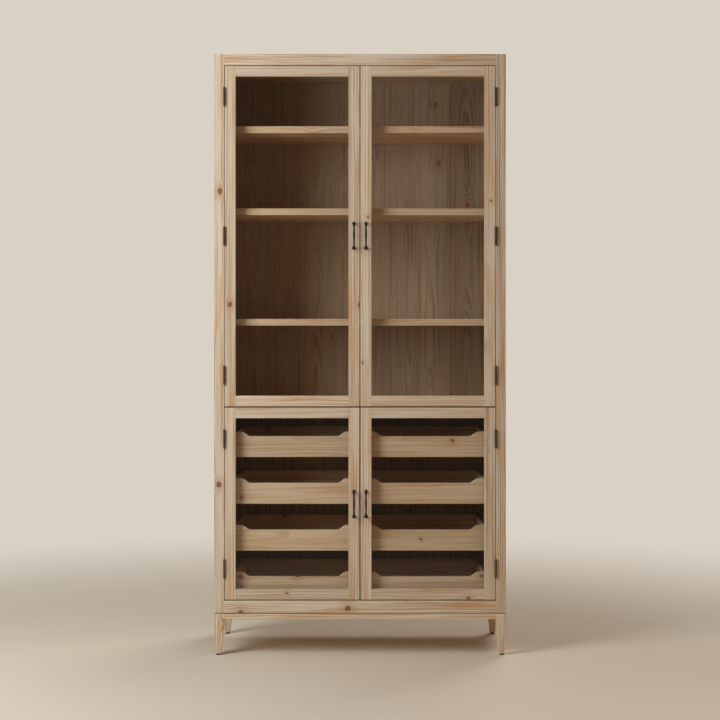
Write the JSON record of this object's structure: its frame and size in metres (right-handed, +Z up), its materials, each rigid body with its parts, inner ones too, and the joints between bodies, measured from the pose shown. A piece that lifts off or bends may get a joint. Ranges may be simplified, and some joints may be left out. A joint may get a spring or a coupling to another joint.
{
  "type": "pantry cabinet",
  "caption": "Tall pine pantry cabinet on short tapered legs, with glazed doors, adjustable shelves above and scooped pull-out trays below.",
  "frame": {"origin": "on the floor under the middle of the whole cabinet's box, handles included", "axes": "+Z up; the doors face -Y; +X to the right as seen from the front"},
  "size_m": [1.07, 0.482, 2.205],
  "materials": {
    "frame_pine": "pale oiled pine, open straight grain with small knots",
    "door_pine": "pale oiled pine, straight grain, eased edges",
    "panel_pine": "pale oiled pine boards, glued edge to edge",
    "back_pine": "oiled pine boards, flat-sawn grain with knots",
    "shelf_pine": "oiled pine, long grain",
    "tray_pine": "oiled pine, horizontal grain",
    "glass": "clear float glass",
    "handle_iron": "black cast iron, waxed, slightly rough",
    "hinge_bronze": "oil-rubbed bronze finish on steel",
    "zinc_steel": "zinc-plated steel",
    "catch_plastic": "moulded tan plastic",
    "glide_plastic": "dark nylon"
  },
  "bodies": {
    "cabinet": {"face_frame": "frame_pine", "side_panels": "panel_pine", "top_panel": "panel_pine", "floor_panel": "panel_pine", "back_panel": "back_pine", "centre_partition": "panel_pine", "fixed_shelf": "shelf_pine", "adjustable_shelves": "shelf_pine", "shelf_pegs": "zinc_steel", "slide_fillers": "tray_pine", "cabinet_slides": "zinc_steel", "post_hinges": "hinge_bronze", "magnetic_catches": "catch_plastic", "base_legs": "frame_pine", "base_aprons": "frame_pine", "leg_glides": "glide_plastic"},
    "upper_left_door": {"upper_left_door_frame": "door_pine", "upper_left_door_glass": "glass", "upper_left_door_beads": "door_pine", "upper_left_door_handle": "handle_iron", "upper_left_door_fittings": "hinge_bronze"},
    "upper_right_door": {"upper_right_door_frame": "door_pine", "upper_right_door_glass": "glass", "upper_right_door_beads": "door_pine", "upper_right_door_handle": "handle_iron", "upper_right_door_fittings": "hinge_bronze"},
    "lower_left_door": {"lower_left_door_frame": "door_pine", "lower_left_door_glass": "glass", "lower_left_door_beads": "door_pine", "lower_left_door_handle": "handle_iron", "lower_left_door_fittings": "hinge_bronze"},
    "lower_right_door": {"lower_right_door_frame": "door_pine", "lower_right_door_glass": "glass", "lower_right_door_beads": "door_pine", "lower_right_door_handle": "handle_iron", "lower_right_door_fittings": "hinge_bronze"},
    "tray_l1": {"tray_l1_front": "tray_pine", "tray_l1_box": "tray_pine", "tray_l1_slides": "zinc_steel"},
    "tray_l2": {"tray_l2_front": "tray_pine", "tray_l2_box": "tray_pine", "tray_l2_slides": "zinc_steel"},
    "tray_l3": {"tray_l3_front": "tray_pine", "tray_l3_box": "tray_pine", "tray_l3_slides": "zinc_steel"},
    "tray_l4": {"tray_l4_front": "tray_pine", "tray_l4_box": "tray_pine", "tray_l4_slides": "zinc_steel"},
    "tray_r1": {"tray_r1_front": "tray_pine", "tray_r1_box": "tray_pine", "tray_r1_slides": "zinc_steel"},
    "tray_r2": {"tray_r2_front": "tray_pine", "tray_r2_box": "tray_pine", "tray_r2_slides": "zinc_steel"},
    "tray_r3": {"tray_r3_front": "tray_pine", "tray_r3_box": "tray_pine", "tray_r3_slides": "zinc_steel"},
    "tray_r4": {"tray_r4_front": "tray_pine", "tray_r4_box": "tray_pine", "tray_r4_slides": "zinc_steel"}
  },
  "joints": [
    {"name": "upper_left_door_hinge", "type": "hinge", "parent": "cabinet", "child": "upper_left_door", "pos_m": [-0.4975, -0.2133, 1.5375], "axis": [0, 0, -1], "range_deg": [0, 170]},
    {"name": "upper_right_door_hinge", "type": "hinge", "parent": "cabinet", "child": "upper_right_door", "pos_m": [0.4975, -0.2133, 1.5375], "axis": [0, 0, 1], "range_deg": [0, 170]},
    {"name": "lower_left_door_hinge", "type": "hinge", "parent": "cabinet", "child": "lower_left_door", "pos_m": [-0.4975, -0.2133, 0.556], "axis": [0, 0, -1], "range_deg": [0, 170]},
    {"name": "lower_right_door_hinge", "type": "hinge", "parent": "cabinet", "child": "lower_right_door", "pos_m": [0.4975, -0.2133, 0.556], "axis": [0, 0, 1], "range_deg": [0, 170]},
    {"name": "tray_l1_slide", "type": "slide", "parent": "cabinet", "child": "tray_l1", "axis": [0, -1, 0], "range_m": [0, 0.012]},
    {"name": "tray_l2_slide", "type": "slide", "parent": "cabinet", "child": "tray_l2", "axis": [0, -1, 0], "range_m": [0, 0.012]},
    {"name": "tray_l3_slide", "type": "slide", "parent": "cabinet", "child": "tray_l3", "axis": [0, -1, 0], "range_m": [0, 0.012]},
    {"name": "tray_l4_slide", "type": "slide", "parent": "cabinet", "child": "tray_l4", "axis": [0, -1, 0], "range_m": [0, 0.012]},
    {"name": "tray_r1_slide", "type": "slide", "parent": "cabinet", "child": "tray_r1", "axis": [0, -1, 0], "range_m": [0, 0.012]},
    {"name": "tray_r2_slide", "type": "slide", "parent": "cabinet", "child": "tray_r2", "axis": [0, -1, 0], "range_m": [0, 0.012]},
    {"name": "tray_r3_slide", "type": "slide", "parent": "cabinet", "child": "tray_r3", "axis": [0, -1, 0], "range_m": [0, 0.012]},
    {"name": "tray_r4_slide", "type": "slide", "parent": "cabinet", "child": "tray_r4", "axis": [0, -1, 0], "range_m": [0, 0.012]}
  ]
}
